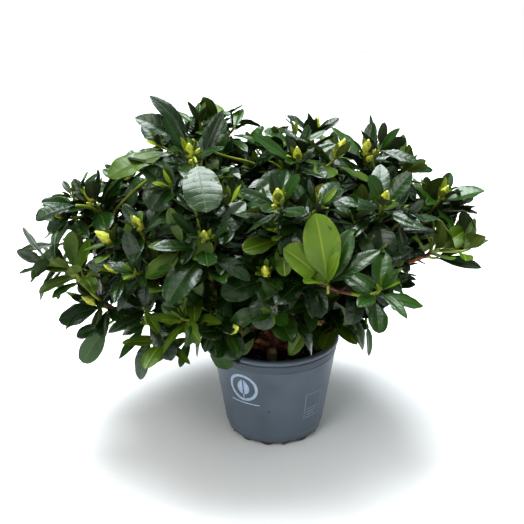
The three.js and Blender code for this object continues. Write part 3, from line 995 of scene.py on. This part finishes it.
# The shoots that lead each mass which shows from the front. Each has its place in shares of the
# mass's half size along X, Y and Z, where it leans, its tint, size and openness, its leaves and buds.
LEADING_SHOOTS = {
    "top_left": [((0.1, -0.35, 0.4), (-0.05, -0.5, 1.0), "dark", 1.12, 0.95, 9, 3)],
    "top_left_back": [((0.2, -0.3, 0.35), (0.05, -0.1, 1.0), "green", 0.8, 0.8, 8, 0),
                      ((0.9, -0.3, 0.2), (0.3, -0.2, 1.0), "green", 0.75, 0.9, 8, 0)],
    "top_middle": [((0.5, -0.2, 0.5), (0.3, -0.2, 1.0), "green", 0.9, 1.0, 9, 0)],
    "top_right": [((-0.2, -0.3, 0.4), (-0.1, -0.5, 1.0), "dark", 1.08, 1.0, 10, 1)],
    "top_right_end": [((-0.3, -0.2, 0.3), (0.1, -0.3, 1.0), "dark", 1.0, 1.0, 9, 3)],
    "left_upper": [((0.3, -0.3, 0.25), (-0.5, -0.2, 1.0), "dark", 1.02, 1.0, 9, 2)],
    "left_front": [((0.1, -0.1, 0.4), (-0.3, -0.4, 1.0), "dark", 1.0, 1.1, 9, 1)],
    "left_tip": [((0.25, -0.4, 0.0), (-0.5, -0.2, 1.0), "olive", 1.02, 0.7, 8, 0),
                 ((-0.5, -0.3, 0.1), (-1.0, -0.2, 0.3), "dark", 0.9, 0.8, 7, 0)],
    "left_low": [((0.2, 0.0, 0.25), (-0.6, -0.4, 0.5), "dark", 0.98, 1.15, 8, 1)],
    "left_front_low": [((-0.1, 0.1, 0.1), (-0.4, -0.5, 0.4), "green", 0.95, 1.2, 7, 0)],
    "front_left": [((0.1, -0.3, -0.2), (0.0, -0.7, 1.0), "dark", 1.15, 0.95, 9, 1)],
    "front_left_low": [((0.1, -0.1, 0.0), (0.1, -0.7, 0.9), "green", 0.95, 1.0, 9, 0)],
    "front_middle": [((-0.3, -0.1, 0.4), (-0.1, -0.5, 1.0), "dark", 1.02, 1.0, 10, 2)],
    "front_low": [((-0.2, -0.1, 0.4), (-0.1, -0.8, 0.8), "dark", 0.92, 1.0, 8, 1)],
    "front_right": [((0.55, -0.2, -0.1), (0.3, -0.6, 1.0), "green", 0.9, 1.0, 8, 0)],
    "right_upper": [((0.0, -0.2, 0.2), (0.2, -0.5, 1.0), "dark", 1.05, 1.0, 10, 1)],
    "right_front": [((-0.2, -0.2, -0.1), (0.2, -0.8, 0.7), "green", 0.95, 1.0, 8, 0)],
    "right_shoulder": [((0.0, -0.4, 0.4), (0.4, -0.3, 1.0), "green", 1.0, 1.0, 9, 1)],
    "right_tip": [((-0.5, -0.2, -0.1), (1.0, -0.2, 0.45), "fresh", 1.05, 0.75, 9, 0)],
    "right_low": [((0.1, -0.1, -0.1), (0.6, -0.3, 0.5), "green", 0.9, 1.1, 7, 0)],
    "rim_left": [((-0.5, -0.3, 0.3), (-0.5, -0.8, 0.3), "green", 0.9, 1.1, 7, 0)],
    "rim_right": [((0.3, -0.1, 0.3), (0.5, -0.7, 0.3), "green", 0.9, 1.1, 6, 0)],
}
YOUNG_MASSES = ("front_right", "left_tip", "right_tip")
OPEN_MASSES = ("left_low", "left_front_low", "right_low", "rim_left", "rim_right", "right_tip", "left_tip")


# Sprays that stand out from the crown or hang low in front of it. Each is the place its leaves leave
# and the room it wants in millimetres, then each leaf's tip, breadth in shares of its length, and tint.
# Places are in shares of the pot's radius, radius and height.
SPRAYS = [
    ((0.65, -2.20, 2.10), 50, [
        ((0.50, -2.16, 2.66), 0.52, "lime"), ((0.14, -2.34, 2.44), 0.56, "lime"),
        ((0.93, -1.95, 2.49), 0.42, "green"), ((1.28, -2.11, 2.36), 0.30, "dark"),
        ((0.70, -2.45, 2.42), 0.30, "lime"), ((0.35, -2.60, 2.24), 0.40, "fresh"),
    ]),
    ((-1.47, -0.81, 2.95), 12, [((-2.24, -1.05, 2.78), 0.52, "olive")]),
    ((-1.04, -1.50, 2.98), 24, [((-0.90, -2.08, 2.70), 0.64, "dark")]),
    ((-1.15, -0.73, 3.05), 10, [
        ((-1.68, -0.65, 3.40), 0.30, "deep"), ((-1.89, -0.68, 3.22), 0.34, "dark"),
    ]),
    ((-0.99, -0.98, 2.93), 10, [((-0.74, -0.84, 3.30), 0.32, "deep")]),
    ((1.47, -0.33, 2.88), 14, [
        ((1.98, -0.49, 2.79), 0.34, "dark"), ((1.66, -0.50, 3.10), 0.30, "green"),
    ]),
    ((2.33, -0.49, 1.90), 14, [
        ((3.03, -0.52, 2.08), 0.24, "green"), ((2.95, -0.60, 1.84), 0.28, "dark"),
    ]),
    ((-2.82, -0.65, 2.44), 12, [
        ((-3.33, -0.81, 2.34), 0.48, "dark"), ((-3.22, -0.90, 2.52), 0.34, "dark"),
    ]),
    ((-3.06, -0.73, 2.09), 12, [
        ((-3.63, -0.73, 2.03), 0.22, "dark"), ((-3.42, -1.00, 1.84), 0.34, "green"),
    ]),
    ((0.50, -0.75, 1.34), 12, [((0.23, -0.82, 1.03), 0.42, "fresh")]),
    ((1.00, -0.73, 1.27), 12, [((0.58, -0.78, 1.13), 0.60, "fresh")]),
    ((-0.88, -1.07, 1.32), 12, [
        ((-0.72, -1.03, 0.94), 0.50, "green"), ((-0.50, -0.98, 1.02), 0.52, "dark"),
    ]),
    ((-2.48, -0.76, 1.30), 16, [
        ((-2.84, -0.84, 0.96), 0.46, "green"), ((-2.92, -0.70, 1.18), 0.42, "dark"),
    ]),
    ((-1.76, -1.38, 1.38), 16, [((-1.92, -1.45, 1.00), 0.38, "dark")]),
    ((-1.20, -1.30, 1.36), 12, [
        ((-1.70, -1.38, 1.14), 0.34, "fresh"), ((-1.34, -1.52, 1.14), 0.30, "green"),
    ]),
    ((1.32, -0.90, 1.36), 12, [((1.36, -1.00, 1.08), 0.28, "green")]),
]


def outward_axis(spot):
    return unit(0.75 * unit(spot - crown_heart) + 0.6 * UP + rng.normal(0, 0.16, 3))


def leading_shoots(mass):
    shoots = []
    for share, lean, tint, size, openness, count, buds in LEADING_SHOOTS.get(mass.place, []):
        tip = mass.middle + np.array(share) * mass.half
        heart = not shoots and mass.place not in OPEN_MASSES
        shoots.append(Shoot(tip, unit(np.array(lean)), tint, size, openness, count, buds, heart))
    if not shoots:
        tip = mass.middle + mass.outward * max(0.0, mass.thick - 20 * MM)
        buds = int(rng.integers(0, 3))
        shoots.append(Shoot(tip, outward_axis(tip), rng.choice(OLD_TINTS), 1.0, 1.0, 10, buds, True))
    return shoots


def more_shoots(mass, taken, count, depth, room):
    """Tips in the mass that keep away from those taken, each the best of many tries.

    taken holds each shoot's tip and the room that it wants round it."""
    tips = []
    for _ in range(count):
        tries = [mass.spot(depth) for _ in range(30)]
        gaps = [min(np.linalg.norm(spot - tip) - wanted for tip, wanted in taken) for spot in tries]
        if max(gaps) < 0:
            break
        tip = tries[int(np.argmax(gaps))]
        tips.append(tip)
        taken.append((tip, room))
    return tips


def nearest_start(limbs, target):
    """The limb and the place on it that a mass's own branch leaves from."""
    best = None
    for limb in limbs:
        first = int(0.45 * len(limb.line))
        gaps = np.linalg.norm(limb.line[first:] - target, axis=1)
        index = first + int(gaps.argmin())
        if best is None or gaps.min() < best[0]:
            best = (gaps.min(), limb, index)
    return best[1], best[2]


def twig_to(start, heading, tip, axis):
    span = np.linalg.norm(tip - start)
    count = max(8, int(span / (1.7 * MM)))
    return bezier(start, start + heading * span * 0.35, tip - axis * span * 0.38, tip, count)


def add_twig(pile, line, thick, thin, sides):
    """A twig whose radius falls from thick to thin, both in millimetres."""
    add_tube(pile, line, np.linspace(thick, thin, len(line)) * MM, sides, relief=0.03)


def grow_branch(mass, shoot, limbs, green_twigs, brown_twigs):
    """The branch from the nearest limb to a mass's first shoot, brown at its foot and then green."""
    limb, index = nearest_start(limbs, mass.middle - mass.outward * mass.thick)
    start = limb.line[index]
    heading = unit(heading_at(limb.line, index) + unit(shoot.tip - start))
    branch = twig_to(start, heading, shoot.tip, shoot.axis)
    split = int(0.45 * len(branch))
    thick = np.linspace(1.9, 1.5, len(branch)) * MM
    add_tube(brown_twigs, branch[: split + 2], thick[: split + 2], 8, relief=0.04)
    add_tube(green_twigs, branch[split:], thick[split:], 8, relief=0.03)
    return branch


def dress_shoot(shoot, line, leaves, buds, leafless=0.4):
    """The rosette, stem leaves and buds of one shoot. leafless is the bare share of its twig."""
    add_rosette(leaves, shoot)
    add_stem_leaves(leaves, line, leafless, 15 * MM, FINE)
    if shoot.heart:
        add_heart(leaves, shoot)
    if shoot.buds:
        add_buds(buds, shoot)


def fork_from(branch, low, high, tip, axis):
    """A twig to a tip from somewhere between two shares of the branch's length."""
    fork = int(len(branch) * rng.uniform(low, high))
    return twig_to(branch[fork], heading_at(branch, fork), tip, axis)


def grow_mass(mass, shoots, limbs, taken, green_twigs, brown_twigs, buds):
    """The branch, side twigs, rosettes and buds that stand for one mass."""
    leaves = Pile()
    branch = grow_branch(mass, shoots[0], limbs, green_twigs, brown_twigs)
    sparse = mass.place in OPEN_MASSES
    young = mass.place in YOUNG_MASSES
    leafless = 0.8 if sparse or young else 0.4
    dress_shoot(shoots[0], branch, leaves, buds, leafless)
    tints = ["fresh", "olive", "green"] if young else NEW_TINTS
    outer = shoots[1:]
    extra, shaded = (2, 0) if sparse else (5, 4)
    for tip in more_shoots(mass, taken, extra, depth=17 * MM, room=16 * MM):
        axis = unit(outward_axis(tip) + 0.5 * unit(tip - mass.middle))
        outer.append(Shoot(tip, axis, rng.choice(tints), rng.uniform(0.78, 1.02), rng.uniform(0.85, 1.1),
                           int(rng.integers(7, 11)), int(rng.uniform() < 0.12), rng.uniform() < 0.45))
    for shoot in outer:
        twig = fork_from(branch, 0.3, 0.65, shoot.tip, shoot.axis)
        add_twig(green_twigs, twig, 1.45, 1.1, 7)
        dress_shoot(shoot, twig, leaves, buds, leafless)
    if not sparse and not young:
        add_stem_leaves(leaves, branch, 0.12, 9 * MM, COARSE)
    for _ in range(shaded):
        skin = mass.points[rng.integers(len(mass.points))]
        tip = skin + unit(crown_heart - skin) * rng.uniform(38, 75) * MM
        shade = Shoot(tip, outward_axis(tip), rng.choice(OLD_TINTS[:5]), 0.95, 1.2, 9)
        twig = fork_from(branch, 0.05, 0.4, shade.tip, shade.axis)
        add_twig(brown_twigs, twig, 1.3, 1.0, 6)
        add_rosette(leaves, shade, COARSE)
    return leaves


def build_inner_leaves(limbs, materials):
    """The shaded leaves along the outer half of each bough, but not under the open parts."""
    leaves = Pile()
    for limb in limbs:
        if limb.name.removeprefix("bough_") not in ("left", "left_front", "right", "rim_left", "rim_right"):
            add_stem_leaves(leaves, limb.line, 0.5, 8 * MM, COARSE)
    leaves.piece("foliage_inner", materials, "leaf_dark")


def spray_foot(spray):
    return np.array(spray[0]) * (pot_radius, pot_radius, pot_height)


def build_sprays(limbs, materials, green_twigs):
    """The sprays that stand out, each on a twig of its own from the nearest limb."""
    leaves = Pile()
    for spray in SPRAYS:
        foot = spray_foot(spray)
        spans = [np.array(tip) * (pot_radius, pot_radius, pot_height) - foot for tip, _, _ in spray[2]]
        limb, index = nearest_start(limbs, foot)
        axis = unit(sum(spans) + 12 * MM * UP)
        twig = twig_to(limb.line[index], heading_at(limb.line, index), foot, axis)
        add_twig(green_twigs, twig, 1.7, 1.1, 8)
        for span, (_, breadth, tint) in zip(spans, spray[2]):
            length = 1.06 * np.linalg.norm(span)
            facing = unit(0.7 * FRONT + UP + rng.normal(0, 0.2, 3))
            add_leaf(leaves, foot, unit(unit(span) + 0.22 * facing), facing, length, length * breadth,
                     tint, math.radians(28), rng.uniform(0.14, 0.32), rng.uniform(0.04, 0.15), hanging=True)
    leaves.piece("foliage_sprays", materials, "leaf_dark")


def build_crown(limbs):
    materials = leaf_materials()
    green_twigs, brown_twigs, buds = Pile(), Pile(), Pile()
    masses = [Mass(name) for name in mass_names]
    leading = {mass.place: leading_shoots(mass) for mass in masses}
    taken = [(spray_foot(spray), spray[1] * MM) for spray in SPRAYS]
    for mass in masses:
        taken += [(shoot.tip, 19 * MM) for shoot in leading[mass.place]]
    for mass in masses:
        leaves = grow_mass(mass, leading[mass.place], limbs, taken, green_twigs, brown_twigs, buds)
        slot = "leaf_young" if mass.place in YOUNG_MASSES else "leaf_dark"
        leaves.piece(f"foliage_{mass.place}", materials, slot, [mass.name])
    build_inner_leaves(limbs, materials)
    build_sprays(limbs, materials, green_twigs)
    green = [(0.3, (0.13, 0.18, 0.014)), (0.6, (0.22, 0.27, 0.026)), (0.85, (0.26, 0.19, 0.035))]
    stem = speckled_material("green_stem", green, 60.0, 0.5, 500.0, 0.0004)
    green_twigs.piece("green_twigs", [stem], "green_stem")
    brown = [(0.3, (0.05, 0.02, 0.01)), (0.6, (0.12, 0.05, 0.022)), (0.85, (0.15, 0.11, 0.03))]
    wood = speckled_material("brown_twig", brown, 90.0, 0.6, 500.0, 0.0006)
    brown_twigs.piece("brown_twigs", [wood], "bark")
    scale = bud_material("bud_scale", (0.46, 0.52, 0.06))
    blush = bud_material("bud_blush", (0.36, 0.24, 0.06))
    point = bud_material("bud_point", (0.62, 0.66, 0.22))
    buds.piece("flower_buds", [scale, blush, point], "bud")


# ------------ assembly

add_camera()
add_studio()
build_pot()
build_gate_mark()
build_prints()
peat_material = build_peat()
scatter_crumbs("peat_crumbs", 520, (0.5 * MM, 1.9 * MM), peat_material, "peat")
russet = [(0.3, (0.09, 0.04, 0.02)), (0.7, (0.30, 0.17, 0.09))]
chips = speckled_material("bark_chips", russet, 300.0, 0.9, 700.0, 0.0006)
scatter_crumbs("bark_chips", 160, (0.6 * MM, 1.6 * MM), chips, "peat", drift=0.3)
chalky = [(0.3, (0.52, 0.47, 0.39)), (0.7, (0.70, 0.67, 0.59))]
grit = speckled_material("perlite", chalky, 900.0, 0.9, 1500.0, 0.0003)
scatter_crumbs("perlite_grains", 210, (0.3 * MM, 0.95 * MM), grit, "perlite", drift=0.45)
bark = bark_material()
build_trunk(bark)
boughs = [Limb(name) for name in bough_names]
build_limbs(boughs, bark)
build_crown(boughs)
